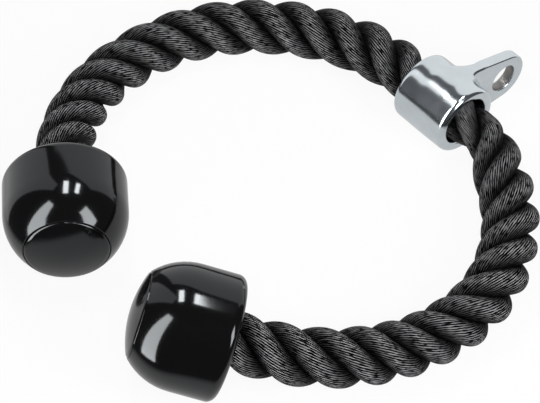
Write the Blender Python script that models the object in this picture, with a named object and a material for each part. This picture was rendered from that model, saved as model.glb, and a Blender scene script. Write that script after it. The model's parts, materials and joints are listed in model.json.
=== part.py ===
"""Triceps rope attachment: a thick laid rope through a cast collar with an eye, and a knob on each end.

Metres, +Z up. The rope lies in an open ring on the plane z = 0. The collar's bore runs along X and
its eye points along +Y. The origin is below the middle of the box round the collar and the knobs.
"""

import math

import bmesh
import bpy
import numpy as np
from mathutils import Matrix, Vector

# Clearances
SEAM = 0.0003  # between pieces that touch or fit into each other
THROAT_CLEARANCE = 0.0005  # round the rope where it enters a knob

# Rope
ROPE_RADIUS = 0.016
ROPE_LIE = ROPE_RADIUS + SEAM  # height of its centre where it lies on the floor
NECK_LENGTH = 0.010  # of the squeezed rope that shows outside the collar
RUN_IN = 0.004  # straight ends of each free stretch
ROUTE_STEP = 0.022

# Collar: a thick sleeve, and a tapered plate across it that holds the eye
SLEEVE_LENGTH = 0.0392
COLLAR_SQUEEZE = 0.0014  # of the rope's radius in the bore
BORE_RADIUS = ROPE_RADIUS - COLLAR_SQUEEZE
NECK_SWELL = 0.0002  # of the squeezed rope, where the free stretch starts
NECK_RADIUS = BORE_RADIUS + NECK_SWELL
SLEEVE_WALL = 0.0062
SLEEVE_RADIUS = BORE_RADIUS + SLEEVE_WALL
MOUTH_ROUND = 0.0016  # inner edge of the bore's ends
RIM_ROUND = 0.0030  # outer edge of the sleeve's ends
PLATE_THICKNESS = 0.0074
PLATE_SETBACK = 0.0137  # from the front mouth to the plate's front face
PLATE_PROUD = 0.0007  # how far the plate's flanks pass outside the sleeve
BACK_FILLET = 0.0070
FRONT_FILLET = 0.0025
PLATE_EDGE = 0.0015
EYE_DISTANCE = 0.0441  # from the bore's axis
EYE_RADIUS = 0.0084
EYE_WALL = 0.0066  # on both sides of the eye
EYE_TOP_WALL = 0.0074  # at the plate's end
EYE_EDGE = 0.0006
INSIDE = 0.0003  # how deep a surface that blends into the sleeve starts in it

# Knob shell: a round skirt that closes in a ball
CAVITY_ROOM = 0.0047  # round the rope's full radius, for its washer and ferrule
CAVITY_RADIUS = ROPE_RADIUS + CAVITY_ROOM
SHELL_WALL = 0.0133
KNOB_RADIUS = CAVITY_RADIUS + SHELL_WALL
SKIRT_LENGTH = 0.0243
FACE_ROUND = 0.0050
THROAT_RADIUS = ROPE_RADIUS + THROAT_CLEARANCE
THROAT_ROUND = 0.0018
SHOULDER_DEPTH = 0.0100  # thickness of the wall that the rope passes
LIP_WIDTH = 0.0006

# End cap: a domed disc with a spigot that snaps into the shell
CAP_LEDGE = 0.00215  # how far the cap reaches over the shell round the cavity
CAP_RADIUS = CAVITY_RADIUS + CAP_LEDGE
CAP_EDGE_DEPTH = 0.0030
CAP_EDGE_ROUND = 0.0007
DOME_RISE = 0.0046
CAP_PLATE = 0.0007  # how far the disc's inner face lies below the seam
SPIGOT_LENGTH = 0.0080
SPIGOT_WALL = 0.0022
SNAP_HEIGHT = 0.0005
SNAP_LENGTH = 0.0020
SNAP_PLACE = 0.0045  # from the seat to the middle of the snap ring

# Rope end: a washer against the shoulder, and a ferrule crimped on behind it
WASHER_THICKNESS = 0.0025
WASHER_GRIP = 0.0012  # how far the washer's bore bites into the rope
WASHER_BORE_RADIUS = ROPE_RADIUS - WASHER_GRIP
WASHER_CLEARANCE = 0.0005
CRIMP_SQUEEZE = 0.0025  # of the rope's radius in the ferrule
CRIMPED_RADIUS = ROPE_RADIUS - CRIMP_SQUEEZE
FERRULE_WALL = 0.0024
FERRULE_LENGTH = 0.0220
CRIMP_GROOVES = 3
CRIMP_DEPTH = 0.0007
CRIMP_WIDTH = 0.0030
FUSED_END = 0.0030  # melted end of the rope behind the ferrule
FUSED_ROUND = 0.0015

# Places on the floor plane
COLLAR_PLACE = (0.0146, 0.0966)
LEFT_KNOB_PLACE = (-0.0716, -0.1057)
LEFT_KNOB_YAW = math.radians(-36.4)
LEFT_KNOB_PITCH = 0.0
RIGHT_KNOB_PLACE = (0.0684, -0.1067)
RIGHT_KNOB_YAW = math.radians(-138.8)
RIGHT_KNOB_PITCH = math.radians(16.0)

# Routes of the free rope, from the collar to a knob: across, along, and the lift above where it lies
LEFT_ROUTE = [
    (-0.0450, 0.0940, 0.0032),
    (-0.0755, 0.0822, 0.0010),
    (-0.1015, 0.0615, 0.0),
    (-0.1202, 0.0345, 0.0),
    (-0.1298, 0.0030, 0.0),
    (-0.1288, -0.0300, 0.0012),
    (-0.1170, -0.0603, 0.0052),
    (-0.0968, -0.0860, 0.0118),
]
RIGHT_ROUTE = [
    (0.0688, 0.0878, 0.0032),
    (0.0940, 0.0717, 0.0011),
    (0.1140, 0.0492, 0.0),
    (0.1266, 0.0220, 0.0),
    (0.1292, -0.0080, 0.0),
    (0.1223, -0.0372, 0.0004),
    (0.1085, -0.0640, 0.0029),
    (0.0901, -0.0873, 0.0080),
]

# Facets
KNOB_SIDES = 40
SMALL_SIDES = 28
SLEEVE_SIDES = 40
FLANGE_SIDES = 56
ARC_STEP = math.radians(15)
ROPE_BEVEL_RESOLUTION = 4
MERGE_DISTANCE = 1e-6
SMOOTH_ANGLE = math.radians(32)


def clear_scene():
    for thing in list(bpy.data.objects):
        bpy.data.objects.remove(thing, do_unlink=True)


def material(name, colour, roughness, metallic=0.0):
    made = bpy.data.materials.new(name)
    made.use_nodes = True
    shader = made.node_tree.nodes["Principled BSDF"]
    shader.inputs["Base Color"].default_value = (*colour, 1.0)
    shader.inputs["Roughness"].default_value = roughness
    shader.inputs["Metallic"].default_value = metallic
    made.diffuse_color = (*colour, 1.0)
    return made


def arc(centre, radius, start, end):
    """Points of an arc in a plane, its angles in radians, both ends included."""
    steps = max(2, math.ceil(abs(end - start) / ARC_STEP - 1e-9))
    angles = [start + (end - start) * i / steps for i in range(steps + 1)]
    return [(centre[0] + radius * math.cos(a), centre[1] + radius * math.sin(a)) for a in angles]


def without_repeats(points):
    kept = []
    for point in points:
        if not kept or math.dist(point, kept[-1]) > MERGE_DISTANCE:
            kept.append(point)
    return kept


def object_from(shape, name, finish=None):
    """A bmesh made an object, with its normals pointing out and its round faces smooth."""
    bmesh.ops.recalc_face_normals(shape, faces=shape.faces)
    mesh = bpy.data.meshes.new(name)
    shape.to_mesh(mesh)
    shape.free()
    mesh.shade_smooth()
    mesh.set_sharp_from_angle(angle=SMOOTH_ANGLE)
    made = bpy.data.objects.new(name, mesh)
    bpy.context.scene.collection.objects.link(made)
    if finish:
        mesh.materials.append(finish)
    return made


def turned(name, profile, sides, finish=None, ring=True):
    """A solid turned about local Z from (along, radius) points: a ring, or from axis to axis."""
    shape = bmesh.new()
    points = [shape.verts.new((radius, 0.0, along)) for along, radius in without_repeats(profile)]
    ends = list(zip(points, points[1:]))
    if ring:
        ends.append((points[-1], points[0]))
    edges = [shape.edges.new(pair) for pair in ends]
    bmesh.ops.spin(
        shape, geom=points + edges, cent=(0, 0, 0), axis=(0, 0, 1),
        angle=math.tau, steps=sides, use_merge=True,
    )
    bmesh.ops.remove_doubles(shape, verts=shape.verts, dist=MERGE_DISTANCE)
    return object_from(shape, name, finish)


def extruded(name, outline, start, end, turn):
    """An outline in a plane extruded from start to end along its normal, then turned into place."""
    shape = bmesh.new()
    face = shape.faces.new([shape.verts.new((a, b, start)) for a, b in outline])
    grown = bmesh.ops.extrude_face_region(shape, geom=[face])["geom"]
    moved = [item for item in grown if isinstance(item, bmesh.types.BMVert)]
    bmesh.ops.translate(shape, verts=moved, vec=(0, 0, end - start))
    bmesh.ops.transform(shape, verts=shape.verts, matrix=turn)
    return object_from(shape, name)


def helper(thing, parent):
    """Hides a cutter or a piece of a union, and keeps it with the solid that it shapes."""
    thing.hide_render = True
    thing.display_type = "WIRE"
    thing.parent = parent
    return thing


def combine(target, operation, other):
    modifier = target.modifiers.new(other.name, "BOOLEAN")
    modifier.operation = operation
    modifier.object = other
    modifier.solver = "EXACT"


def round_edges(target, width, segments):
    modifier = target.modifiers.new("edge round", "BEVEL")
    modifier.width = width
    modifier.segments = segments
    modifier.limit_method = "ANGLE"
    modifier.angle_limit = math.radians(40)


def empty_at(name, place):
    made = bpy.data.objects.new(name, None)
    made.location = place
    made.empty_display_size = 0.02
    bpy.context.scene.collection.objects.link(made)
    return made


def axis_matrix(place, direction):
    """The frame at a place whose Z runs along a direction and whose X stays level."""
    along = Vector(direction).normalized()
    level = Vector((0, 0, 1)).cross(along).normalized()
    columns = (level, along.cross(level), along)
    return Matrix.Translation(place) @ Matrix(columns).transposed().to_4x4()


def put(thing, matrix, parent):
    """Places an object by a world matrix under a parent that only stands somewhere."""
    thing.parent = parent
    thing.matrix_local = Matrix.Translation(-parent.location) @ matrix


# Collar

# From turned solids and outlines to the collar's own frame: X along the bore, Y to the eye, Z up
ALONG_BORE = Matrix(((0, 0, 1, 0), (1, 0, 0, 0), (0, 1, 0, 0), (0, 0, 0, 1)))

PLATE_FRONT = SLEEVE_LENGTH / 2 - PLATE_SETBACK
PLATE_BACK = PLATE_FRONT - PLATE_THICKNESS
PLATE_END_RADIUS = EYE_RADIUS + EYE_WALL
PLATE_END = EYE_DISTANCE + EYE_TOP_WALL - EYE_WALL  # centre of the plate's round end
FLANK_DISTANCE = SLEEVE_RADIUS + PLATE_PROUD  # from the bore's axis to the plate's straight flanks
PLATE_TAPER = math.asin((FLANK_DISTANCE - PLATE_END_RADIUS) / PLATE_END)


def sleeve_profile():
    half = SLEEVE_LENGTH / 2
    corner = half - RIM_ROUND
    shoulder = SLEEVE_RADIUS - RIM_ROUND
    back = arc((-corner, shoulder), RIM_ROUND, math.pi, math.pi / 2)
    front = arc((corner, shoulder), RIM_ROUND, math.pi / 2, 0)
    return [(-half, 0), *back, *front, (half, 0)]


def bore_profile():
    """The bore's cutter, with each end flared by the round of the mouth."""
    half = SLEEVE_LENGTH / 2
    beyond = half + MOUTH_ROUND
    wide = BORE_RADIUS + MOUTH_ROUND
    back = arc((-half + MOUTH_ROUND, wide), MOUTH_ROUND, math.pi, 1.5 * math.pi)
    front = arc((half - MOUTH_ROUND, wide), MOUTH_ROUND, 1.5 * math.pi, math.tau)
    return [(-beyond, 0), (-beyond, wide), *back, *front, (beyond, wide), (beyond, 0)]


def plate_outline():
    """The eye plate seen along the bore: a drop, from a circle round the sleeve to the round end."""
    root_centre = (PLATE_PROUD + INSIDE) / (1 + math.sin(PLATE_TAPER))
    root_radius = SLEEVE_RADIUS - INSIDE + root_centre
    side = math.pi / 2 - PLATE_TAPER
    end = arc((PLATE_END, 0), PLATE_END_RADIUS, -side, side)
    root = arc((root_centre, 0), root_radius, side, math.tau - side)
    return [*end, *root]


def flange_profile():
    """The plate as a flange turned about the bore's axis, with a fillet to the sleeve on each side."""
    foot = SLEEVE_RADIUS - INSIDE
    far = PLATE_END + 2 * PLATE_END_RADIUS
    back_start = PLATE_BACK - BACK_FILLET
    front_start = PLATE_FRONT + FRONT_FILLET
    back = arc((back_start, foot + BACK_FILLET), BACK_FILLET, -math.pi / 2, 0)
    front = arc((front_start, foot + FRONT_FILLET), FRONT_FILLET, math.pi, 1.5 * math.pi)
    return [(back_start, 0), *back, (PLATE_BACK, far), (PLATE_FRONT, far), *front, (front_start, 0)]


def eye_profile():
    """The eye's cutter, with a small chamfer at each face of the plate."""
    wide = EYE_RADIUS + EYE_EDGE
    before = PLATE_BACK - EYE_EDGE
    beyond = PLATE_FRONT + EYE_EDGE
    back = [(before, 0), (before, wide), (PLATE_BACK, wide), (PLATE_BACK + EYE_EDGE, EYE_RADIUS)]
    front = [(PLATE_FRONT - EYE_EDGE, EYE_RADIUS), (PLATE_FRONT, wide), (beyond, wide), (beyond, 0)]
    return [*back, *front]


def make_collar(finish):
    """The collar lies on one flank of its plate, so the eye points a little down."""
    collar = turned("collar", sleeve_profile(), SLEEVE_SIDES, finish, ring=False)
    collar.data.transform(ALONG_BORE)
    collar.location = (*COLLAR_PLACE, FLANK_DISTANCE)
    collar.rotation_euler = (-PLATE_TAPER, 0, 0)

    half = SLEEVE_LENGTH / 2
    plate = extruded("eye plate", plate_outline(), RIM_ROUND - half, half - RIM_ROUND, ALONG_BORE)
    flange = turned("flange", flange_profile(), FLANGE_SIDES, ring=False)
    flange.data.transform(ALONG_BORE)
    combine(helper(plate, collar), "INTERSECT", helper(flange, collar))
    round_edges(plate, PLATE_EDGE, 3)

    bore = turned("bore", bore_profile(), SLEEVE_SIDES, ring=False)
    bore.data.transform(ALONG_BORE)
    eye = turned("eye", eye_profile(), SMALL_SIDES, ring=False)
    eye.data.transform(Matrix.Translation((0, EYE_DISTANCE, 0)) @ ALONG_BORE)

    combine(collar, "UNION", plate)
    combine(collar, "DIFFERENCE", helper(bore, collar))
    combine(collar, "DIFFERENCE", helper(eye, collar))
    return collar


# Knobs

SEAM_PLANE = SKIRT_LENGTH + math.sqrt(KNOB_RADIUS**2 - CAP_RADIUS**2)
SEAT = SEAM_PLANE - CAP_EDGE_DEPTH
SEAT_RADIUS = CAP_RADIUS + SEAM
SPIGOT_RADIUS = CAVITY_RADIUS - SEAM


def snap_ring(radius):
    """The ridge that locks the cap, or the groove that takes it, from the seat inwards."""
    middle = SEAT - SNAP_PLACE
    half = SNAP_LENGTH / 2
    return [(middle + half, radius), (middle, radius + SNAP_HEIGHT), (middle - half, radius)]


def shell_profile():
    lip_radius = SEAT_RADIUS + LIP_WIDTH
    lip_angle = math.asin(lip_radius / KNOB_RADIUS)
    lip = SKIRT_LENGTH + KNOB_RADIUS * math.cos(lip_angle)
    throat = arc((THROAT_ROUND, THROAT_RADIUS + THROAT_ROUND), THROAT_ROUND, 1.5 * math.pi, math.pi)
    rim = arc((FACE_ROUND, KNOB_RADIUS - FACE_ROUND), FACE_ROUND, math.pi, math.pi / 2)
    crown = arc((SKIRT_LENGTH, 0), KNOB_RADIUS, math.pi / 2, lip_angle)
    seat = [(lip, SEAT_RADIUS), (SEAT, SEAT_RADIUS), (SEAT, CAVITY_RADIUS)]
    cavity = [*snap_ring(CAVITY_RADIUS), (SHOULDER_DEPTH, CAVITY_RADIUS), (SHOULDER_DEPTH, THROAT_RADIUS)]
    return [*throat, *rim, *crown, *seat, *cavity]


def cap_profile():
    dome_radius = (CAP_RADIUS**2 + DOME_RISE**2) / (2 * DOME_RISE)
    dome_centre = SEAM_PLANE + DOME_RISE - dome_radius
    flat_edge = CAP_RADIUS - CAP_EDGE_ROUND
    dome_steps = 6
    dome_angle = math.asin(flat_edge / dome_radius)
    dome = [
        (dome_centre + dome_radius * math.cos(dome_angle * i / dome_steps),
         dome_radius * math.sin(dome_angle * i / dome_steps))
        for i in range(dome_steps + 1)
    ]
    edge = [(SEAM_PLANE - CAP_EDGE_ROUND, CAP_RADIUS), (SEAT + SEAM, CAP_RADIUS)]
    spigot_end = SEAT - SPIGOT_LENGTH
    inner = SPIGOT_RADIUS - SPIGOT_WALL
    spigot = [(SEAT + SEAM, SPIGOT_RADIUS), *snap_ring(SPIGOT_RADIUS), (spigot_end, SPIGOT_RADIUS)]
    inside = [(spigot_end, inner), (SEAM_PLANE - CAP_PLATE, inner), (SEAM_PLANE - CAP_PLATE, 0)]
    return [*dome, *edge, *spigot, *inside]


WASHER_START = SHOULDER_DEPTH + SEAM
FERRULE_START = WASHER_START + WASHER_THICKNESS + SEAM
FERRULE_END = FERRULE_START + FERRULE_LENGTH
FERRULE_BORE_RADIUS = CRIMPED_RADIUS + SEAM
FERRULE_RADIUS = FERRULE_BORE_RADIUS + FERRULE_WALL


def washer_profile():
    outer = CAVITY_RADIUS - WASHER_CLEARANCE
    end = WASHER_START + WASHER_THICKNESS
    return [
        (WASHER_START, WASHER_BORE_RADIUS), (WASHER_START, outer),
        (end, outer), (end, WASHER_BORE_RADIUS),
    ]


def ferrule_profile():
    """A sleeve with evenly spaced crimp grooves round it."""
    outside = [(FERRULE_START, FERRULE_RADIUS)]
    pitch = FERRULE_LENGTH / CRIMP_GROOVES
    for i in range(CRIMP_GROOVES):
        middle = FERRULE_START + pitch * (i + 0.5)
        floor = FERRULE_RADIUS - CRIMP_DEPTH
        outside += [
            (middle - CRIMP_WIDTH / 2, FERRULE_RADIUS), (middle - CRIMP_WIDTH / 4, floor),
            (middle + CRIMP_WIDTH / 4, floor), (middle + CRIMP_WIDTH / 2, FERRULE_RADIUS),
        ]
    outside.append((FERRULE_END, FERRULE_RADIUS))
    return [(FERRULE_START, FERRULE_BORE_RADIUS), *outside, (FERRULE_END, FERRULE_BORE_RADIUS)]


def rope_end_profile():
    """The rope inside a knob: full in the throat, squeezed by washer and ferrule, fused at its end."""
    in_washer = WASHER_BORE_RADIUS - SEAM
    squeeze = 2 * SEAM
    fused = FERRULE_END + FUSED_END
    tip = arc((fused - FUSED_ROUND, CRIMPED_RADIUS - FUSED_ROUND), FUSED_ROUND, math.pi / 2, 0)
    return [
        (0, 0), (0, ROPE_RADIUS), (SHOULDER_DEPTH - squeeze - (ROPE_RADIUS - in_washer), ROPE_RADIUS),
        (SHOULDER_DEPTH - squeeze, in_washer), (FERRULE_START - squeeze, in_washer),
        (FERRULE_START - squeeze / 2, CRIMPED_RADIUS), *tip, (fused, 0),
    ]


def knob_axis(place, yaw, pitch):
    """The centre of a knob's face and the way its axis points, for a knob that touches the floor."""
    core = KNOB_RADIUS - FACE_ROUND
    height = core * math.cos(pitch) - FACE_ROUND * math.sin(pitch) + FACE_ROUND
    heading = (math.cos(yaw) * math.cos(pitch), math.sin(yaw) * math.cos(pitch), math.sin(pitch))
    return Vector((*place, height)), Vector(heading)


def make_knob(side, face, heading, pivot, finishes):
    """A knob's shell and cap, and the rope's end with its washer and ferrule, on the knob's axis."""
    pieces = [
        (f"knob_shell_{side}", shell_profile(), KNOB_SIDES, "knob", True),
        (f"end_cap_{side}", cap_profile(), KNOB_SIDES, "cap", False),
        (f"washer_{side}", washer_profile(), SMALL_SIDES, "washer", True),
        (f"ferrule_{side}", ferrule_profile(), SMALL_SIDES, "ferrule", True),
        (f"rope_end_{side}", rope_end_profile(), SMALL_SIDES, "rope", False),
    ]
    for name, profile, sides, finish, ring in pieces:
        piece = turned(name, profile, sides, finishes[finish], ring)
        put(piece, axis_matrix(face, heading), pivot)


# Rope

def smooth_route(points, start_way, end_way, step):
    """Evenly spaced points on the smooth curve through the route's own points.

    The curve is a cubic spline over chord length. Its ends leave along the two given directions.
    """
    fixed = np.array(points, float)
    chord = np.linalg.norm(np.diff(fixed, axis=0), axis=1)
    count = len(fixed)
    rows = np.eye(count)
    aims = np.zeros((count, 3))
    aims[0], aims[-1] = start_way, end_way
    for i in range(1, count - 1):
        before, after = chord[i - 1], chord[i]
        rows[i, i - 1 : i + 2] = (1 / before, 2 / before + 2 / after, 1 / after)
        aims[i] = 3 * ((fixed[i] - fixed[i - 1]) / before**2 + (fixed[i + 1] - fixed[i]) / after**2)
    ways = np.linalg.solve(rows, aims)
    t = np.linspace(0, 1, 50, endpoint=False)[:, None]
    fine = [
        (2 * t**3 - 3 * t**2 + 1) * fixed[i] + (t**3 - 2 * t**2 + t) * chord[i] * ways[i]
        + (3 * t**2 - 2 * t**3) * fixed[i + 1] + (t**3 - t**2) * chord[i] * ways[i + 1]
        for i in range(count - 1)
    ]
    line = np.concatenate([*fine, fixed[-1:]])
    run = np.concatenate([[0], np.cumsum(np.linalg.norm(np.diff(line, axis=0), axis=1))])
    even = np.linspace(0, run[-1], max(2, round(run[-1] / step)) + 1)
    return np.stack([np.interp(even, run, line[:, k]) for k in range(3)], axis=1)


def arm_line(route, way_out, face, heading):
    """The centreline of one free stretch, from the collar's neck to a knob's face."""
    neck = SLEEVE_LENGTH / 2 + NECK_LENGTH + SEAM
    start = np.array((*COLLAR_PLACE, FLANK_DISTANCE)) + neck * np.array(way_out)
    inward = np.array(heading)
    end = np.array(face) - SEAM * inward
    lying = [(x, y, ROPE_LIE + lift) for x, y, lift in route]
    bend_start = start + RUN_IN * np.array(way_out)
    bend_end = end - RUN_IN * inward
    curve = smooth_route([bend_start, *lying, bend_end], way_out, inward, ROUTE_STEP)
    return np.array([start, *curve, end])


def tube(name, line, finish):
    """A free stretch of rope: its straight run-in at the collar still squeezed, the rest full."""
    curve = bpy.data.curves.new(name, "CURVE")
    curve.dimensions = "3D"
    curve.bevel_depth = ROPE_RADIUS
    curve.bevel_resolution = ROPE_BEVEL_RESOLUTION
    curve.use_fill_caps = True
    spline = curve.splines.new("POLY")
    spline.points.add(len(line) - 1)
    for i, place in enumerate(line):
        spline.points[i].co = (*place, 1.0)
        spline.points[i].radius = 1.0 if i > 1 else NECK_RADIUS / ROPE_RADIUS
    curve.materials.append(finish)
    made = bpy.data.objects.new(name, curve)
    bpy.context.scene.collection.objects.link(made)
    return made


def rope_middle_profile():
    """The rope inside the collar, squeezed by the bore and swelling again outside both mouths."""
    squeezed = BORE_RADIUS - SEAM
    swell = SLEEVE_LENGTH / 2 - MOUTH_ROUND
    end = SLEEVE_LENGTH / 2 + NECK_LENGTH
    return [
        (-end, 0), (-end, NECK_RADIUS), (-swell, squeezed),
        (swell, squeezed), (end, NECK_RADIUS), (end, 0),
    ]


def make_rope_middle(finish):
    middle = turned("rope_middle", rope_middle_profile(), SMALL_SIDES, finish, ring=False)
    middle.data.transform(ALONG_BORE)
    middle.location = (*COLLAR_PLACE, FLANK_DISTANCE)


def main():
    clear_scene()
    gloss_black = material("knob_plastic", (0.012, 0.012, 0.013), 0.08)
    finishes = {
        "knob": gloss_black,
        "cap": gloss_black,
        "rope": material("rope_fibre", (0.016, 0.016, 0.018), 0.55),
        "collar": material("cast_metal", (0.72, 0.73, 0.75), 0.16, 1.0),
        "washer": material("washer_steel", (0.55, 0.56, 0.58), 0.35, 1.0),
        "ferrule": material("ferrule_aluminium", (0.66, 0.67, 0.69), 0.40, 1.0),
    }
    make_rope_middle(finishes["rope"])
    make_collar(finishes["collar"])
    left = knob_axis(LEFT_KNOB_PLACE, LEFT_KNOB_YAW, LEFT_KNOB_PITCH)
    right = knob_axis(RIGHT_KNOB_PLACE, RIGHT_KNOB_YAW, RIGHT_KNOB_PITCH)
    for side, (face, heading), route, way_out in (
        ("left", left, LEFT_ROUTE, (-1, 0, 0)),
        ("right", right, RIGHT_ROUTE, (1, 0, 0)),
    ):
        line = arm_line(route, way_out, face, heading)
        tube(f"rope_arm_{side}", line, finishes["rope"])
        pivot = empty_at(f"{side}_bend", Vector(line[len(line) // 2]))
        make_knob(side, face, heading, pivot, finishes)
    bpy.context.view_layer.update()


main()
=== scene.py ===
"""Triceps rope attachment on a pale studio floor.

Metres, +Z up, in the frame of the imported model. The ring of rope lies on z = 0, the collar's bore runs
along X, and its eye points along +Y.
"""

import json
import math

import bmesh
import bpy
import numpy as np
from mathutils import Matrix, Vector


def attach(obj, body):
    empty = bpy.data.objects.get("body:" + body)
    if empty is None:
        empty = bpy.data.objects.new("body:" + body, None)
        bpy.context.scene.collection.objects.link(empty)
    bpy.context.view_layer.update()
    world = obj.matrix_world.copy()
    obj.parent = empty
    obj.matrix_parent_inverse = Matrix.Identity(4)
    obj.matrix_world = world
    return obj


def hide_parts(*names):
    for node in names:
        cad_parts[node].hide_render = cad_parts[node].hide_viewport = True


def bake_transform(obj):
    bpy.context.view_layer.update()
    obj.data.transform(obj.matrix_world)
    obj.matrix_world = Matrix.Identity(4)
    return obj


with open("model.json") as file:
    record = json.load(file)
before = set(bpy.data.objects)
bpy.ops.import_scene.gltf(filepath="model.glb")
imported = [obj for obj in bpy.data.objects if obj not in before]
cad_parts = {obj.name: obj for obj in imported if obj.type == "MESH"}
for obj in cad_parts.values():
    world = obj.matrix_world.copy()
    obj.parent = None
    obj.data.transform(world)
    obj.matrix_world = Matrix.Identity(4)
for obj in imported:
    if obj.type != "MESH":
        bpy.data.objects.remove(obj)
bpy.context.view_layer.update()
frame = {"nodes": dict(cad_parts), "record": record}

JOINTS = {joint["name"]: joint for joint in frame["record"]["behaviour"]["joints"]}
SEAM = 0.0003  # between pieces that touch or fit into each other

# All shapes
ARC_STEP = math.radians(6)
ROUNDING = 1e-9  # so that a whole number of steps doesn't round up
MERGE_DISTANCE = 1e-6
SHARP_ANGLE = math.radians(32)  # between two faces, past which the edge shows

# Rope
ROPE_RADIUS = 0.016
STRANDS = 3
STRAND_HALF_HEIGHT = 0.0076
STRAND_HALF_WIDTH = 0.0091
STRAND_GAP = 0.0001  # from a strand to the plane that parts it from the next
STRAND_SIDES = 44
LAY_STEP = 0.001
LINE_STEP = 0.001
SPAN_STEPS = 50  # from one point of the route to the next
YARNS = 40  # round one strand
YARN_WIND = 1.35  # turns of a yarn back round its strand, for each turn of the strand
TURN_LENGTH = 65.0  # usual length of a strand's turn, in millimetres
CROWN_LIGHT_FALL = 3.0  # how fast the painted highlight on a strand's crown gives way to painted shade at its sides

# Lay of the rope: turns of the strands at places along it, measured from the collar's centre
LAY = [
    (-0.345, -5.010), (-0.2675, -3.838), (-0.2218, -3.131), (-0.1540, -2.112), (-0.0862, -1.124),
    (-0.0368, -0.473), (0.0392, 0.681), (0.0820, 1.286), (0.1180, 1.911), (0.1585, 2.543),
    (0.1940, 3.187), (0.2288, 3.840), (0.2728, 4.499), (0.345, 5.590),
]
LAY_EASE = 0.012  # to each side of a place, over which its lay is evened
LAY_SAMPLES = 9  # places over that stretch

# Route of the rope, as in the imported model
COLLAR_CENTRE = (0.0146, 0.0966, 0.0215)
SLEEVE_LENGTH = 0.0392
NECK_LENGTH = 0.010  # of squeezed rope beyond each rim of the sleeve
NECK_END = SLEEVE_LENGTH / 2 + NECK_LENGTH
RUN_IN = 0.004  # of straight rope before an arm's curve starts
ROPE_LIE = ROPE_RADIUS + SEAM
ROPE_IN_KNOB = 0.0381

# Points of each arm's route: x, y, and how far the rope is lifted there from where it lies
LEFT_ROUTE = [
    (-0.0450, 0.0940, 0.0032),
    (-0.0755, 0.0822, 0.0010),
    (-0.1015, 0.0615, 0.0),
    (-0.1202, 0.0345, 0.0),
    (-0.1298, 0.0030, 0.0),
    (-0.1288, -0.0300, 0.0012),
    (-0.1170, -0.0603, 0.0052),
    (-0.0968, -0.0860, 0.0118),
]
RIGHT_ROUTE = [
    (0.0688, 0.0878, 0.0032),
    (0.0940, 0.0717, 0.0011),
    (0.1140, 0.0492, 0.0),
    (0.1266, 0.0220, 0.0),
    (0.1292, -0.0080, 0.0),
    (0.1223, -0.0372, 0.0004),
    (0.1085, -0.0640, 0.0029),
    (0.0901, -0.0873, 0.0080),
]

# Girth of the rope: place along it, then depth inside a knob, each with its radius
COLLAR_GIRTH = [
    (-0.0480, 0.0160), (-0.0296, 0.0148), (-0.0180, 0.0142), (0.0100, 0.0134),
    (0.0300, 0.0121), (0.0440, 0.0132), (0.0680, 0.0160),
]
KNOB_GIRTH = [(0.0079, 0.0160), (0.0092, 0.0144), (0.0125, 0.0144), (0.0131, 0.0134)]

# Collar
BORE_RADIUS = 0.0146
SLEEVE_RADIUS = 0.0208
MOUTH_ROUND = 0.0016
RIM_ROUND = 0.0030
SLEEVE_SIDES = 128
STRAIGHT_HALF = SLEEVE_LENGTH / 2 - RIM_ROUND  # of the sleeve, between its rounded rims
PLATE_FRONT = 0.0059  # along the bore, from the sleeve's middle
PLATE_BACK = -0.0015
PLATE_PROUD = 0.0007  # how far its root stands out of the sleeve
PLATE_END = 0.0449  # middle of its round end, from the bore's axis
PLATE_END_RADIUS = 0.0150
PLATE_EDGE = 0.0015
PLATE_EDGE_STEPS = 5
PLATE_EDGE_ANGLE = math.radians(40)
FLANGE_SIDES = 160
BACK_FILLET = 0.0070
FRONT_FILLET = 0.0045
FILLET_DEPTH = 0.00005  # how far a fillet reaches into the sleeve, so that the solids join
EYE_DISTANCE = 0.0441  # from the bore's axis
EYE_RADIUS = 0.0084
EYE_EDGE = 0.0006
EYE_SIDES = 72
EYE_SHADE_EVEN = 1.01  # radii from its middle, as far as the painted shade in its bore is even
EYE_SHADE_END = 1.06  # radii from its middle, where the painted shade has ended
CAST_VOXEL = 0.0004
CAST_SOFTENING = 20  # passes over the whole casting
ROOT_SOFTENING = 60  # passes over the plate's root, before those
ROOT_ABOVE = 0.0100  # from the sleeve up the plate, as far as its root is run softer
ROOT_BELOW = 0.0003  # into the sleeve, as far as that reaches

# Knob
KNOB_RADIUS = 0.034
SKIRT_LENGTH = 0.0243
FACE_ROUND = 0.0050
THROAT_RADIUS = 0.0165
THROAT_ROUND = 0.0018
SHOULDER_DEPTH = 0.0100
CAVITY_RADIUS = 0.0207
LIP_WIDTH = 0.0006
LIP_ROUND = 0.00025
CAP_RADIUS = 0.02285
CAP_EDGE_DEPTH = 0.0030
CAP_EDGE_ROUND = 0.0007
DOME_RISE = 0.0046
CAP_PLATE = 0.0007
SPIGOT_LENGTH = 0.0080
SPIGOT_WALL = 0.0022
SNAP_HEIGHT = 0.0005
SNAP_LENGTH = 0.0020
SNAP_PLACE = 0.0045  # middle of the snap ring, from the cap's seat
KNOB_SIDES = 144
DOME_STEPS = 16
SEAM_PLANE = SKIRT_LENGTH + math.sqrt(KNOB_RADIUS**2 - CAP_RADIUS**2)
SEAT = SEAM_PLANE - CAP_EDGE_DEPTH
SEAT_RADIUS = CAP_RADIUS + SEAM
SPIGOT_RADIUS = CAVITY_RADIUS - SEAM

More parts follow.
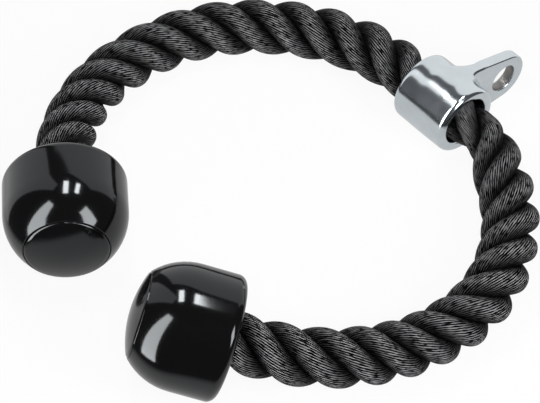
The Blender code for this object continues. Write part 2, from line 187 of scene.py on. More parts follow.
# Finishes
# Rope yarns, from the gaps up to the tops: painted shade, the nylon's own black, painted sheen
YARN_GAP_SHADE = (0.001, 0.001, 0.001)
YARN_SIDE = (0.025, 0.025, 0.0253)
YARN_TOP_SHEEN = (0.50, 0.503, 0.511)
VALLEY_SHADE = 0.002  # painted shade in the valleys between the strands and down their flanks
KNOB_LEVEL = 0.002
KNOB_SHEEN = (0.93, 0.98, 1.0, 1.0)
CAST_DULL = (0.58, 0.63, 0.66, 1.0)
CAST_BRIGHT = (0.72, 0.78, 0.81, 1.0)
# Painted shade on the wall of the eye's bore
EYE_BORE_SHADE = (0.32, 0.31, 0.30, 1.0)

# Camera
VIEW_AZIMUTH = math.radians(48.95)
VIEW_ELEVATION = math.radians(50.24)
VIEW_DISTANCE = 1.3234
VIEW_AIM = (-0.0081, -0.0130, 0.0)
LENS = 158.19
SENSOR_WIDTH = 36.0
NEAR_LIMIT = 0.05
FAR_LIMIT = 30.0

# Studio
BLACK = (0.0, 0.0, 0.0)
WHITE = (1.0, 1.0, 1.0)
TABLE_SIZE = 6.0
TABLE_DROP = 0.0002  # below the rope, so that the two don't touch
TABLE_GREY = 0.5
TABLE_SHOWN = 1.08  # its white to the eye
TABLE_MIRRORED = 0.72  # its white to a mirrored ray
TABLE_WHITE = 0.85  # share of the white, where the rest shows the shadow
TABLE_REACH = 0.22  # from the middle, for a mirrored ray
TABLE_FADE = 0.015  # to each side of that
ROOM_LIGHT = 0.03
ROOM_MIRRORED = (0.08, 0.08, 0.086, 1.0)
WATTS_PER_LEVEL = 4.0  # for each square metre of a lamp


# Shader nodes

class Socket:
    """An output of a shader node. Arithmetic on it adds Math nodes."""

    def __init__(self, nodes, output):
        self.nodes = nodes
        self.output = output

    def math(self, operation, first, second=0.0):
        return self.nodes.add("ShaderNodeMath", {"operation": operation}, {0: first, 1: second})

    def __add__(self, other):
        return self.math("ADD", self, other)

    def __radd__(self, other):
        return self.math("ADD", other, self)

    def __sub__(self, other):
        return self.math("SUBTRACT", self, other)

    def __rsub__(self, other):
        return self.math("SUBTRACT", other, self)

    def __mul__(self, other):
        return self.math("MULTIPLY", self, other)

    def __rmul__(self, other):
        return self.math("MULTIPLY", other, self)

    def __truediv__(self, other):
        return self.math("DIVIDE", self, other)

    def __rtruediv__(self, other):
        return self.math("DIVIDE", other, self)

    def __pow__(self, other):
        return self.math("POWER", self, other)

    def __rpow__(self, other):
        return self.math("POWER", other, self)

    def cosine(self):
        return self.math("COSINE", self)

    def larger(self, other):
        return self.math("MAXIMUM", self, other)


class Nodes:
    """A node tree that grows by one method."""

    def __init__(self, tree):
        self.tree = tree

    def add(self, kind, settings=None, inputs=None, output=0):
        """Adds a node with its settings, then the values or links of its sockets, and gives one output."""
        node = self.tree.nodes.new(kind)
        for name, value in (settings or {}).items():
            if name == "stops":
                self.set_stops(node.color_ramp.elements, value)
            else:
                setattr(node, name, value)
        self.feed(node, inputs or {})
        return Socket(self, node.outputs[output])

    def set_stops(self, elements, stops):
        """Gives a colour ramp its stops, each a place and a colour."""
        while len(elements) < len(stops):
            elements.new(1.0)
        for element, (place, colour) in zip(elements, stops):
            element.position = place
            element.color = (*colour, 1.0)

    def feed(self, node, inputs):
        """Sets or links a node's sockets."""
        for name, value in inputs.items():
            if isinstance(value, Socket):
                self.tree.links.new(value.output, node.inputs[name])
            else:
                node.inputs[name].default_value = value

    def mix_colour(self, factor, first, second):
        """Sockets 6 and 7 are the Mix node's colours, and output 2 is the colour mixed."""
        return self.add("ShaderNodeMix", {"data_type": "RGBA"}, {0: factor, 6: first, 7: second}, 2)

    def mix_shader(self, factor, first, second):
        return self.add("ShaderNodeMixShader", inputs={0: factor, 1: first, 2: second})

    def vector(self, operation, first, second=(0.0, 0.0, 0.0), output="Vector"):
        return self.add("ShaderNodeVectorMath", {"operation": operation}, {0: first, 1: second}, output)

    def place(self):
        """A point of the piece, in metres."""
        return self.add("ShaderNodeTexCoord", output="Object")

    def ray(self, kind):
        """Is 1 for a ray of this kind, such as Camera, and else 0."""
        return self.add("ShaderNodeLightPath", output=f"Is {kind} Ray")

    def noise(self, vector, scale, detail=2.0, roughness=0.5):
        inputs = {"Vector": vector, "Scale": scale, "Detail": detail, "Roughness": roughness}
        return self.add("ShaderNodeTexNoise", inputs=inputs, output="Fac")

    def ramp(self, factor, stops):
        return self.add("ShaderNodeValToRGB", {"stops": stops}, {"Fac": factor}, "Color")

    def bump(self, height, strength, distance):
        inputs = {"Height": height, "Strength": strength, "Distance": distance}
        return self.add("ShaderNodeBump", inputs=inputs, output="Normal")


def grey(level):
    return (level, level, level, 1.0)


def finish(name, constants):
    """A material, its nodes and its surface shader, with the shader's constants set."""
    material = bpy.data.materials.new(name)
    material.use_nodes = True
    nodes = Nodes(material.node_tree)
    surface = material.node_tree.nodes["Principled BSDF"]
    nodes.feed(surface, constants)
    return material, nodes, surface


def rope_fibre():
    """Black nylon filaments: fine yarns wound back across each strand, with painted sheen on the yarn tops
    and along each strand's crown, and painted shade in the gaps, the flanks and the valleys.
    """
    material, nodes, surface = finish("rope_fibre", {"IOR": 1.5, "Specular IOR Level": 0.02})
    lay = nodes.add("ShaderNodeUVMap", {"uv_map": "lay"})
    around = nodes.add("ShaderNodeSeparateXYZ", inputs={0: lay}, output="X")
    turns = nodes.add("ShaderNodeSeparateXYZ", inputs={0: lay}, output="Y")
    across = (around + turns * YARN_WIND) * YARNS
    along = turns * TURN_LENGTH

    def streaks(each_yarn, each_millimetre):
        """Noise drawn out along the yarns, by its pace across them and along them."""
        paces = {"X": across * each_yarn, "Y": along * each_millimetre}
        return nodes.noise(nodes.add("ShaderNodeCombineXYZ", inputs=paces), scale=1.0, detail=1.0)

    filament = streaks(each_yarn=1.05, each_millimetre=0.24)
    tuft = streaks(each_yarn=0.30, each_millimetre=0.14)
    yarn = (across * math.tau + tuft * 3.0).cosine()
    # Painted highlight along the outer crown of each strand, fading to painted shade where the strands meet
    crown = (0.5 - 0.5 * (around * math.tau).cosine()) ** CROWN_LIGHT_FALL
    # Painted sheen on the raised yarn tops and painted shade in the gaps between them
    raised = filament * 0.72 + tuft * 0.12 + yarn * 0.14
    yarn_sheen_and_shade = nodes.ramp(raised, [(0.335, YARN_GAP_SHADE), (0.405, YARN_SIDE), (0.52, YARN_TOP_SHEEN)])
    nodes.feed(surface, {
        # Painted shade in the valleys, painted highlight and sheen towards the crowns
        "Base Color": nodes.mix_colour(crown, grey(VALLEY_SHADE), yarn_sheen_and_shade),
        "Roughness": 0.60 - 0.3 * filament,
        "Normal": nodes.bump(yarn * 0.7 + filament * 0.8, strength=1.0, distance=0.0011),
    })
    return material


def moulded_gloss(name, roughness):
    """Polished black plastic with a slight unevenness from its mould and faint rubbed patches."""
    constants = {"Base Color": grey(KNOB_LEVEL), "IOR": 1.5, "Specular Tint": KNOB_SHEEN}
    material, nodes, surface = finish(name, constants)
    place = nodes.place()
    rubbed = nodes.noise(place, scale=60.0, detail=3.0, roughness=0.6)
    swell = nodes.noise(place, scale=28.0, detail=1.0)
    grain = nodes.noise(place, scale=2600.0, detail=1.0)
    nodes.feed(surface, {
        "Roughness": roughness + rubbed * 0.06,
        "Normal": nodes.bump(swell + grain * 0.012, strength=0.25, distance=0.0008),
    })
    return material


def polished_casting():
    """Pale cast alloy, polished by hand over a surface that isn't quite true, with painted shade and a
    duller finish in the eye's bore.
    """
    material, nodes, surface = finish("polished_casting", {"Metallic": 1.0})
    place = nodes.place()
    mottle = nodes.noise(place, scale=90.0, detail=4.0, roughness=0.6)
    swell = nodes.noise(place, scale=55.0, detail=1.0)
    grain = nodes.noise(place, scale=1800.0, detail=2.0)
    polish = nodes.mix_colour(mottle, CAST_DULL, CAST_BRIGHT)
    from_eye = nodes.vector("SUBTRACT", place, collar_place() @ Vector((0, EYE_DISTANCE, 0)))
    off_axis = nodes.vector("MULTIPLY", from_eye, (0.0, 1.0, 1.0))
    diameters = nodes.vector("LENGTH", off_axis, output="Value") / (2 * EYE_RADIUS)
    # Painted shade in the eye's bore, which is also made duller
    eye_shade_and_dullness = nodes.ramp(diameters, [(EYE_SHADE_EVEN / 2, WHITE), (EYE_SHADE_END / 2, BLACK)])
    nodes.feed(surface, {
        "Base Color": nodes.mix_colour(eye_shade_and_dullness, polish, EYE_BORE_SHADE),
        "Roughness": 0.12 + mottle * 0.08 + eye_shade_and_dullness * 0.30,
        "Normal": nodes.bump(swell + grain * 0.02, strength=0.2, distance=0.0007),
    })
    return material


def turned_metal(name, level, roughness):
    """Sheet or tube worked on a lathe, with a fine grain and dull patches."""
    material, nodes, surface = finish(name, {"Metallic": 1.0})
    place = nodes.place()
    patches = nodes.noise(place, scale=240.0, detail=3.0)
    grain = nodes.noise(place, scale=3200.0, detail=1.0)
    nodes.feed(surface, {
        "Base Color": nodes.mix_colour(patches, grey(level), grey(level * 1.15)),
        "Roughness": roughness + patches * 0.15,
        "Normal": nodes.bump(grain, strength=0.2, distance=0.0002),
    })
    return material


# Shapes

def arc(centre, radius, start, end, steps=None):
    """Points of an arc in a plane, its angles in radians, both ends included."""
    steps = steps or max(2, math.ceil(abs(end - start) / ARC_STEP - ROUNDING))
    angles = [start + (end - start) * i / steps for i in range(steps + 1)]
    return [(centre[0] + radius * math.cos(a), centre[1] + radius * math.sin(a)) for a in angles]


def piece_from(shape, name, material=None):
    """A bmesh made an object with its normals out, smooth apart from its true edges."""
    bmesh.ops.recalc_face_normals(shape, faces=shape.faces)
    mesh = bpy.data.meshes.new(name)
    shape.to_mesh(mesh)
    shape.free()
    mesh.shade_smooth()
    mesh.set_sharp_from_angle(angle=SHARP_ANGLE)
    piece = bpy.data.objects.new(name, mesh)
    bpy.context.scene.collection.objects.link(piece)
    if material:
        mesh.materials.append(material)
    return piece


def turned(name, profile, sides, material=None, ring=True, turn=None):
    """A solid turned about Z from (along, radius) points, then placed by a matrix."""
    shape = bmesh.new()
    kept = profile[:1] + [b for a, b in zip(profile, profile[1:]) if math.dist(a, b) > MERGE_DISTANCE]
    points = [shape.verts.new((radius, 0.0, along)) for along, radius in kept]
    ends = list(zip(points, points[1:]))
    if ring:
        ends.append((points[-1], points[0]))
    edges = [shape.edges.new(pair) for pair in ends]
    bmesh.ops.spin(
        shape, geom=points + edges, cent=(0, 0, 0), axis=(0, 0, 1),
        angle=math.tau, steps=sides, use_merge=True,
    )
    bmesh.ops.remove_doubles(shape, verts=shape.verts, dist=MERGE_DISTANCE)
    if turn:
        bmesh.ops.transform(shape, verts=shape.verts, matrix=turn)
    return piece_from(shape, name, material)


# Rope

def smooth_route(points, start_way, end_way, step):
    """Evenly spaced points on the cubic spline through the route's own points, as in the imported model."""
    fixed = np.array(points, float)
    chord = np.linalg.norm(np.diff(fixed, axis=0), axis=1)
    count = len(fixed)
    rows = np.eye(count)
    aims = np.zeros((count, 3))
    aims[0], aims[-1] = start_way, end_way
    for i in range(1, count - 1):
        before, after = chord[i - 1], chord[i]
        rows[i, i - 1 : i + 2] = (1 / before, 2 / before + 2 / after, 1 / after)
        aims[i] = 3 * ((fixed[i] - fixed[i - 1]) / before**2 + (fixed[i + 1] - fixed[i]) / after**2)
    ways = np.linalg.solve(rows, aims)
    t = np.linspace(0, 1, SPAN_STEPS, endpoint=False)[:, None]
    fine = [
        (2 * t**3 - 3 * t**2 + 1) * fixed[i] + (t**3 - 2 * t**2 + t) * chord[i] * ways[i]
        + (3 * t**2 - 2 * t**3) * fixed[i + 1] + (t**3 - t**2) * chord[i] * ways[i + 1]
        for i in range(count - 1)
    ]
    line = np.concatenate([*fine, fixed[-1:]])
    run = run_along(line)
    even = np.linspace(0, run[-1], max(2, round(run[-1] / step)) + 1)
    return np.stack([np.interp(even, run, line[:, k]) for k in range(3)], axis=1)


def run_along(line):
    """How far along a line each of its points is."""
    return np.concatenate([[0], np.cumsum(np.linalg.norm(np.diff(line, axis=0), axis=1))])


def half_line(route, way_out, side):
    """The rope's middle line from the collar's centre into a knob, and its run to the knob's face."""
    centre = np.array(COLLAR_CENTRE)
    way = np.array(way_out, float)
    face = np.array(JOINTS[f"{side}_knob_turn"]["pos_m"])
    heading = np.array(JOINTS[f"{side}_knob_turn"]["axis"])
    heading = heading / np.linalg.norm(heading)
    start = centre + (NECK_END + SEAM + RUN_IN) * way
    end = face - (SEAM + RUN_IN) * heading
    lying = [(x, y, ROPE_LIE + lift) for x, y, lift in route]
    curve = smooth_route([start, *lying, end], way, heading, LINE_STEP)
    inside = face + ROPE_IN_KNOB * heading
    line = np.array([*straight(centre, start), *curve, *straight(end, inside)[1:], inside])
    return line, run_along(line)[-1] - ROPE_IN_KNOB


def straight(start, end):
    """Points from start towards end, without the end."""
    steps = max(1, round(np.linalg.norm(end - start) / LINE_STEP))
    return [start + (end - start) * i / steps for i in range(steps)]


class RopeLine:
    """The rope's middle line and two ways across it, by the run from the collar's centre, left negative."""

    def __init__(self):
        left, self.left_face = half_line(LEFT_ROUTE, (-1, 0, 0), "left")
        right, self.right_face = half_line(RIGHT_ROUTE, (1, 0, 0), "right")
        self.places = np.concatenate([left[::-1], right[1:]])
        self.run = run_along(self.places) - run_along(left)[-1]
        ways = np.gradient(self.places, self.run, axis=0)
        self.ways = ways / np.linalg.norm(ways, axis=1)[:, None]
        self.ups = self.carried((0.0, 0.0, 1.0))
        self.sides = np.cross(self.ways, self.ups)

    def carried(self, up):
        """A way across the line, carried along it without twist."""
        carried = []
        for way in self.ways:
            up = up - np.dot(up, way) * way
            up = up / np.linalg.norm(up)
            carried.append(up)
        return np.array(carried)

    def read(self, values, run):
        """Vectors that are known at the line's points, read at any run along it."""
        return np.stack([np.interp(run, self.run, values[:, k]) for k in range(3)], axis=1)

    def girth(self, run):
        """The rope's radius there, as a share of the free rope's."""
        depth = np.abs(run) - np.where(run < 0, self.left_face, self.right_face)
        at_collar = np.interp(run, *zip(*COLLAR_GIRTH))
        at_knob = np.interp(depth, *zip(*KNOB_GIRTH))
        return np.minimum(at_collar, at_knob) / ROPE_RADIUS

    def bent(self, points):
        """Points round a straight rope, its run along Z, moved to the rope's real line."""
        run = points[:, 2]
        share = self.girth(run)[:, None]
        across = points[:, :1] * self.read(self.ups, run) + points[:, 1:2] * self.read(self.sides, run)
        return self.read(self.places, run) + share * across


def lay_turns(run):
    """Turns of the strands at a place along the rope."""
    near = np.linspace(-LAY_EASE, LAY_EASE, LAY_SAMPLES)
    return np.mean([np.interp(run + away, *zip(*LAY)) for away in near], axis=0)


def strand_outline(share):
    """One strand's outline across the rope, from its inner side round, flattened against its neighbours."""
    angle = math.pi + math.tau * share
    x = ROPE_RADIUS - STRAND_HALF_HEIGHT + STRAND_HALF_HEIGHT * np.cos(angle)
    y = STRAND_HALF_WIDTH * np.sin(angle)
    wall = math.pi / STRANDS  # half the angle that a strand has to itself
    past = np.minimum(x * math.sin(wall) - np.abs(y) * math.cos(wall) - STRAND_GAP, 0)
    return x - past * math.sin(wall), y + np.copysign(past * math.cos(wall), y)


def laid_rope(name, line, start, end, material):
    """A stretch of laid rope: each strand a sheet rolled up, wound round a straight axis, then bent."""
    shape = bmesh.new()
    lay = shape.loops.layers.uv.new("lay")
    steps = math.ceil((end - start) / LAY_STEP)
    # A strand starts as a flat sheet: X goes round it, Y along it, and Z is its number
    for strand in range(STRANDS):
        bmesh.ops.create_grid(
            shape, x_segments=STRAND_SIDES, y_segments=steps, size=0.5,
            matrix=Matrix.Translation((0.5, 0.5, strand)),
        )
    sheets = np.array([vert.co for vert in shape.verts])
    share, run, strand = sheets[:, 0], start + (end - start) * sheets[:, 1], sheets[:, 2]
    turns = lay_turns(run)
    shape.verts.index_update()
    for face in shape.faces:
        for loop in face.loops:
            loop[lay].uv = (share[loop.vert.index] + strand[loop.vert.index], turns[loop.vert.index])
    x, y = strand_outline(share)
    angle = math.tau * (turns + np.round(strand) / STRANDS)
    rolled = np.stack([
        x * np.cos(angle) - y * np.sin(angle), x * np.sin(angle) + y * np.cos(angle), run,
    ], axis=1)
    for vert, place in zip(shape.verts, line.bent(rolled)):
        vert.co = place
    bmesh.ops.remove_doubles(shape, verts=shape.verts, dist=MERGE_DISTANCE)
    bmesh.ops.holes_fill(shape, edges=[edge for edge in shape.edges if edge.is_boundary])
    return piece_from(shape, name, material)


# Collar

# From turned solids and outlines to the collar's own frame: X along the bore, Y to the eye, Z up
ALONG_BORE = Matrix(((0, 0, 1, 0), (1, 0, 0, 0), (0, 1, 0, 0), (0, 0, 0, 1)))


def sleeve_profile():
    """The sleeve without its bore, its rims rounded."""
    half = SLEEVE_LENGTH / 2
    shoulder = SLEEVE_RADIUS - RIM_ROUND
    back = arc((-STRAIGHT_HALF, shoulder), RIM_ROUND, math.pi, math.pi / 2)
    front = arc((STRAIGHT_HALF, shoulder), RIM_ROUND, math.pi / 2, 0)
    return [(-half, 0), *back, *front, (half, 0)]


def bore_profile():
    """What is cut for the rope: the bore, flared in a round at both mouths."""
    half = SLEEVE_LENGTH / 2
    beyond = half + MOUTH_ROUND
    wide = BORE_RADIUS + MOUTH_ROUND
    back = arc((-half + MOUTH_ROUND, wide), MOUTH_ROUND, math.pi, 1.5 * math.pi)
    front = arc((half - MOUTH_ROUND, wide), MOUTH_ROUND, 1.5 * math.pi, math.tau)
    return [(-beyond, 0), (-beyond, wide), *back, *front, (beyond, wide), (beyond, 0)]


def plate_taper():
    """The angle at which each flank of the drop leaves its middle line."""
    return math.asin((SLEEVE_RADIUS + PLATE_PROUD - PLATE_END_RADIUS) / PLATE_END)


def collar_place():
    """The matrix from the collar's own frame to its place, tipped until the plate lies on the floor."""
    return Matrix.Translation(COLLAR_CENTRE) @ Matrix.Rotation(-plate_taper(), 4, "X")


def plate_outline():
    """The eye plate seen along the bore: a drop, from a circle round the sleeve to the round end."""
    taper = plate_taper()
    root_centre = (PLATE_PROUD + FILLET_DEPTH) / (1 + math.sin(taper))
    root_radius = SLEEVE_RADIUS - FILLET_DEPTH + root_centre
    side = math.pi / 2 - taper
    end = arc((PLATE_END, 0), PLATE_END_RADIUS, -side, side)
    root = arc((root_centre, 0), root_radius, side, math.tau - side)
    return [*end, *root]


def flange_profile():
    """The plate as a flange turned about the bore's axis, with a fillet to the sleeve on each side."""
    foot = SLEEVE_RADIUS - FILLET_DEPTH
    far = PLATE_END + 2 * PLATE_END_RADIUS
    back_start = PLATE_BACK - BACK_FILLET
    front_start = PLATE_FRONT + FRONT_FILLET
    back = arc((back_start, foot + BACK_FILLET), BACK_FILLET, -math.pi / 2, 0)
    front = arc((front_start, foot + FRONT_FILLET), FRONT_FILLET, math.pi, 1.5 * math.pi)
    return [(back_start, 0), *back, (PLATE_BACK, far), (PLATE_FRONT, far), *front, (front_start, 0)]


def eye_profile():
    """What is cut for the eye: its bore, chamfered on both faces of the plate."""
    wide = EYE_RADIUS + EYE_EDGE
    before = PLATE_BACK - EYE_EDGE
    beyond = PLATE_FRONT + EYE_EDGE
    back = [(before, 0), (before, wide), (PLATE_BACK, wide), (PLATE_BACK + EYE_EDGE, EYE_RADIUS)]
    front = [(PLATE_FRONT - EYE_EDGE, EYE_RADIUS), (PLATE_FRONT, wide), (beyond, wide), (beyond, 0)]
    return [*back, *front]


def cut_plate():
    """The eye plate's outline as a slab as long as the sleeve's straight part."""
    shape = bmesh.new()
    face = shape.faces.new([shape.verts.new((a, b, -STRAIGHT_HALF)) for a, b in plate_outline()])
    grown = bmesh.ops.extrude_face_region(shape, geom=[face])["geom"]
    moved = [item for item in grown if isinstance(item, bmesh.types.BMVert)]
    bmesh.ops.translate(shape, verts=moved, vec=(0, 0, 2 * STRAIGHT_HALF))
    bmesh.ops.transform(shape, verts=shape.verts, matrix=ALONG_BORE)
    return piece_from(shape, "plate")


def combine(target, operation, other):
    """Joins one solid to another, or cuts it with it."""
    modifier = target.modifiers.new(other.name, "BOOLEAN")
    modifier.operation = operation
    modifier.object = other
    modifier.solver = "EXACT"


def applied(piece, helpers):
    """The piece with its modifiers made real, and the helpers that shaped it removed."""
    bpy.context.view_layer.update()
    shaped = piece.evaluated_get(bpy.context.evaluated_depsgraph_get())
    mesh = bpy.data.meshes.new_from_object(shaped)
    piece.modifiers.clear()
    piece.data = mesh
    for helper in helpers:
        bpy.data.objects.remove(helper, do_unlink=True)
    return piece


def joined_collar(material):
    """The collar's solids joined and cut, with one skin over all."""
    collar = turned("cast_collar", sleeve_profile(), SLEEVE_SIDES, material, ring=False, turn=ALONG_BORE)
    plate = cut_plate()
    flange = turned("flange", flange_profile(), FLANGE_SIDES, ring=False, turn=ALONG_BORE)
    combine(plate, "INTERSECT", flange)
    edges = plate.modifiers.new("edge round", "BEVEL")
    edges.width = PLATE_EDGE
    edges.segments = PLATE_EDGE_STEPS
    edges.limit_method = "ANGLE"
    edges.angle_limit = PLATE_EDGE_ANGLE
    bore = turned("bore", bore_profile(), SLEEVE_SIDES, ring=False, turn=ALONG_BORE)
    eye_place = Matrix.Translation((0, EYE_DISTANCE, 0)) @ ALONG_BORE
    eye = turned("eye", eye_profile(), EYE_SIDES, ring=False, turn=eye_place)
    combine(collar, "UNION", plate)
    combine(collar, "DIFFERENCE", bore)
    combine(collar, "DIFFERENCE", eye)
    skin = collar.modifiers.new("skin", "REMESH")
    skin.mode = "VOXEL"
    skin.voxel_size = CAST_VOXEL
    return applied(collar, (plate, flange, bore, eye))


def in_root(point):
    """Whether a point of the collar lies where the plate grows out of the sleeve."""
    above = math.hypot(point.y, point.z) - SLEEVE_RADIUS
    return -ROOT_BELOW < above < ROOT_ABOVE and abs(point.x) < STRAIGHT_HALF


def cast_collar(material):
    """The collar as a casting: its edges run soft, and the root of its plate softer still."""
    collar = joined_collar(material)
    shape = bmesh.new()
    shape.from_mesh(collar.data)
    root = [vert for vert in shape.verts if in_root(vert.co)]
    for verts, passes in ((root, ROOT_SOFTENING), (shape.verts, CAST_SOFTENING)):
        for _ in range(passes):
            bmesh.ops.smooth_vert(
                shape, verts=verts, factor=0.5, use_axis_x=True, use_axis_y=True, use_axis_z=True,
            )
    bmesh.ops.transform(shape, verts=shape.verts, matrix=collar_place())
    shape.to_mesh(collar.data)
    shape.free()
    collar.data.shade_smooth()
    return collar


# Knobs

def knob_place(side):
    """The matrix from a turned solid's own axis to the knob's: its face at the origin, Z into the knob."""
    joint = JOINTS[f"{side}_knob_turn"]
    along = Vector(joint["axis"]).normalized()
    level = Vector((0, 0, 1)).cross(along).normalized()
    columns = (level, along.cross(level), along)
    return Matrix.Translation(joint["pos_m"]) @ Matrix(columns).transposed().to_4x4()


def snap_ring(radius):
    """The ridge that locks the cap, or the groove that takes it, from the seat inwards."""
    middle = SEAT - SNAP_PLACE
    half = SNAP_LENGTH / 2
    return [(middle + half, radius), (middle, radius + SNAP_HEIGHT), (middle - half, radius)]


def shell_profile():
    """The shell's section: throat, face, skirt, ball, lip, the cap's seat, cavity and shoulder."""
    lip_radius = SEAT_RADIUS + LIP_WIDTH
    lip_angle = math.asin(lip_radius / KNOB_RADIUS)
    lip = SKIRT_LENGTH + KNOB_RADIUS * math.cos(lip_angle)
    throat = arc((THROAT_ROUND, THROAT_RADIUS + THROAT_ROUND), THROAT_ROUND, 1.5 * math.pi, math.pi)
    rim = arc((FACE_ROUND, KNOB_RADIUS - FACE_ROUND), FACE_ROUND, math.pi, math.pi / 2)
    crown = arc((SKIRT_LENGTH, 0), KNOB_RADIUS, math.pi / 2, lip_angle)
    edge = arc((lip - LIP_ROUND, SEAT_RADIUS + LIP_ROUND), LIP_ROUND, 0, -math.pi / 2)
    seat = [(SEAT, SEAT_RADIUS), (SEAT, CAVITY_RADIUS)]
    cavity = [*snap_ring(CAVITY_RADIUS), (SHOULDER_DEPTH, CAVITY_RADIUS), (SHOULDER_DEPTH, THROAT_RADIUS)]
    return [*throat, *rim, *crown, *edge, *seat, *cavity]


def cap_profile():
    """The cap's section: dome, edge, then the spigot that snaps into the cavity."""
    dome_radius = (CAP_RADIUS**2 + DOME_RISE**2) / (2 * DOME_RISE)
    dome_centre = SEAM_PLANE + DOME_RISE - dome_radius
    dome_angle = math.asin((CAP_RADIUS - CAP_EDGE_ROUND) / dome_radius)
    dome = arc((dome_centre, 0), dome_radius, 0, dome_angle, DOME_STEPS)
    edge_centre = (SEAM_PLANE - CAP_EDGE_ROUND, CAP_RADIUS - CAP_EDGE_ROUND)
    edge = arc(edge_centre, CAP_EDGE_ROUND, math.pi / 3, math.pi / 2)
    spigot_end = SEAT - SPIGOT_LENGTH
    inner = SPIGOT_RADIUS - SPIGOT_WALL
    spigot = [(SEAT + SEAM, SPIGOT_RADIUS), *snap_ring(SPIGOT_RADIUS), (spigot_end, SPIGOT_RADIUS)]
    inside = [(spigot_end, inner), (SEAM_PLANE - CAP_PLATE, inner), (SEAM_PLANE - CAP_PLATE, 0)]
    return [*dome, *edge, (SEAT + SEAM, CAP_RADIUS), *spigot, *inside]


# Studio

def pale_floor():
    """A pale table top that shows white and keeps a part of the shadow. Mirrored, it ends at its reach."""
    material, nodes, surface = finish("pale_floor", {"Base Color": grey(TABLE_GREY), "Roughness": 0.9})
    mirrored = nodes.ray("Glossy")
    colour = nodes.mix_colour(mirrored, grey(TABLE_SHOWN), grey(TABLE_MIRRORED))
    white = nodes.add("ShaderNodeEmission", inputs={"Color": colour, "Strength": 1.0})
    share = nodes.ray("Camera").larger(mirrored).larger(nodes.ray("Transmission")) * TABLE_WHITE
    shown = nodes.mix_shader(share, Socket(nodes, surface.outputs["BSDF"]), white)
    far = nodes.vector("LENGTH", nodes.place(), output="Value")
    beyond = nodes.ramp(far, [(TABLE_REACH - TABLE_FADE, BLACK), (TABLE_REACH + TABLE_FADE, WHITE)])
    nothing = nodes.add("ShaderNodeBsdfTransparent")
    ended = nodes.mix_shader(mirrored * beyond, shown, nothing)
    nodes.feed(material.node_tree.nodes["Material Output"], {"Surface": ended})
    shape = bmesh.new()
    bmesh.ops.create_grid(shape, x_segments=1, y_segments=1, size=TABLE_SIZE)
    bmesh.ops.translate(shape, verts=shape.verts, vec=(0, 0, -TABLE_DROP))
    piece_from(shape, "studio_floor", material)


def studio_room():
    """The room round the lamps: white to the eye, dark to a mirrored ray, a low grey to what is lit."""
    world = bpy.data.worlds.new("studio")
    world.use_nodes = True
    bpy.context.scene.world = world
    nodes = Nodes(world.node_tree)
    mirrored = nodes.ray("Glossy").larger(nodes.ray("Transmission"))
    dark = nodes.mix_colour(mirrored, grey(ROOM_LIGHT), ROOM_MIRRORED)
    colour = nodes.mix_colour(nodes.ray("Camera"), dark, grey(1.0))
    nodes.feed(world.node_tree.nodes["Background"], {"Color": colour, "Strength": 1.0})


def softbox(name, place, facing, width, height, mirrored, lighting, roll=0.0):
    """A flat lamp, hidden from the camera, with one level as it is mirrored and one as it lights.

    A level of 0 leaves that use out. The roll turns the lamp about the way it faces.
    """
    back = -Vector(facing).normalized()
    for use, level in (("mirrored", mirrored), ("lighting", lighting)):
        if not level:
            continue
        lamp = bpy.data.lights.new(f"{name} {use}", "AREA")
        lamp.shape = "RECTANGLE"
        lamp.size = width
        lamp.size_y = height
        lamp.energy = level * WATTS_PER_LEVEL * width * height
        placed = bpy.data.objects.new(f"{name} {use}", lamp)
        placed.visible_camera = False
        placed.visible_glossy = use == "mirrored"
        placed.visible_diffuse = use == "lighting"
        turn = back.to_track_quat("Z", "Y").to_matrix().to_4x4()
        placed.matrix_world = Matrix.Translation(place) @ turn @ Matrix.Rotation(roll, 4, "Z")
        bpy.context.scene.collection.objects.link(placed)


def set_camera():
    """The photograph's camera, by its direction and distance from the point that it looks at."""
    camera = bpy.data.cameras.new("camera")
    camera.sensor_fit = "HORIZONTAL"
    camera.sensor_width = SENSOR_WIDTH
    camera.lens = LENS
    camera.clip_start = NEAR_LIMIT
    camera.clip_end = FAR_LIMIT
    placed = bpy.data.objects.new("camera", camera)
    level = math.cos(VIEW_ELEVATION)
    back = Vector((
        math.sin(VIEW_AZIMUTH) * level, -math.cos(VIEW_AZIMUTH) * level, math.sin(VIEW_ELEVATION),
    ))
    placed.location = Vector(VIEW_AIM) + back * VIEW_DISTANCE
    placed.rotation_euler = back.to_track_quat("Z", "Y").to_euler()
    bpy.context.scene.collection.objects.link(placed)
    bpy.context.scene.camera = placed


# The camera and the rope come first
set_camera()
line = RopeLine()
fibre = rope_fibre()
middle = laid_rope("laid_rope_middle", line, -NECK_END, NECK_END, fibre)
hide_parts("rope_middle")
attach(middle, "rope")

for side, face_run, sign in (("left", line.left_face, -1), ("right", line.right_face, 1)):
    start, end = sorted((sign * NECK_END, sign * face_run))
    arm = laid_rope(f"laid_rope_{side}", line, start, end, fibre)
    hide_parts(f"rope_arm_{side}")
    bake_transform(arm)
    start, end = sorted((sign * face_run, sign * (face_run + ROPE_IN_KNOB)))
    inner = laid_rope(f"laid_rope_end_{side}", line, start, end, fibre)
    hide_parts(f"rope_end_{side}")
    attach(inner, f"{side}_end")

# Collar and knobs
collar = cast_collar(polished_casting())
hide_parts("collar")
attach(collar, "collar")

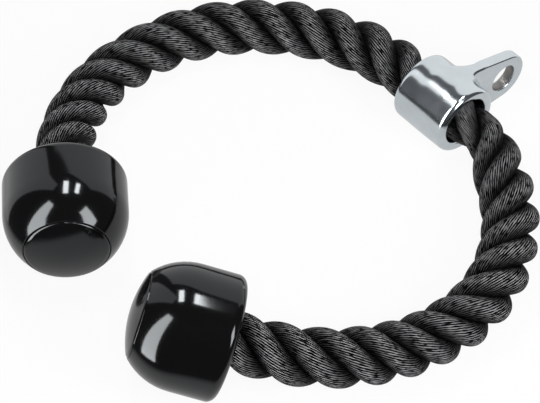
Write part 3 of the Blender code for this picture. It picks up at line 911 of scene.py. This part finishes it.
shell_finish = moulded_gloss("shell_gloss", roughness=0.075)
cap_finish = moulded_gloss("cap_gloss", roughness=0.11)
washer_finish = turned_metal("washer_steel", level=0.52, roughness=0.3)
ferrule_finish = turned_metal("ferrule_alloy", level=0.62, roughness=0.3)
for side in ("left", "right"):
    place = knob_place(side)
    shell = turned(f"moulded_shell_{side}", shell_profile(), KNOB_SIDES, shell_finish, turn=place)
    cap = turned(f"domed_cap_{side}", cap_profile(), KNOB_SIDES, cap_finish, ring=False, turn=place)
    for piece, node in ((shell, "knob_shell"), (cap, "end_cap")):
        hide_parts(f"{node}_{side}")
        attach(piece, f"{side}_knob")
    frame["nodes"][f"washer_{side}"].material_slots[0].material = washer_finish
    frame["nodes"][f"ferrule_{side}"].material_slots[0].material = ferrule_finish

# Studio and lamps
pale_floor()
studio_room()
softbox(
    "front strip", place=(-0.09, -1.12, 0.82), facing=(0, 1, 0), width=0.44, height=2.36,
    mirrored=7.0, lighting=2.0,
)
softbox(
    "side box", place=(0.96, 0.14, 0.62), facing=(-1.01, -0.27, -0.58), width=0.36, height=0.68,
    mirrored=7.5, lighting=8.0,
)
softbox(
    "overhead bar", place=(0.06, 0.32, 1.0), facing=(0, 0, -1), width=0.37, height=0.13,
    mirrored=17.0, lighting=3.0, roll=math.radians(-47),
)
softbox(
    "low panel", place=(-0.096, -0.044, 0.5), facing=(0, 0, -1), width=0.20, height=0.065,
    mirrored=16.0, lighting=12.0, roll=math.radians(-41),
)
softbox(
    "back sheet", place=(-0.35, 0.60, 0.3), facing=(0.44, -0.90, 0), width=1.5, height=1.5,
    mirrored=0.66, lighting=0.40,
)
softbox(
    "left sheet", place=(-0.79, -0.27, 1.0), facing=(0.98, 0.19, 0), width=0.55, height=2.9,
    mirrored=0.70, lighting=0.60,
)
softbox(
    "front lamp", place=(0.58, -0.51, 0.92), facing=(-0.58, 0.51, -0.92), width=0.4, height=0.4,
    mirrored=0.0, lighting=9.0,
)
bpy.context.scene.view_settings.view_transform = "Standard"
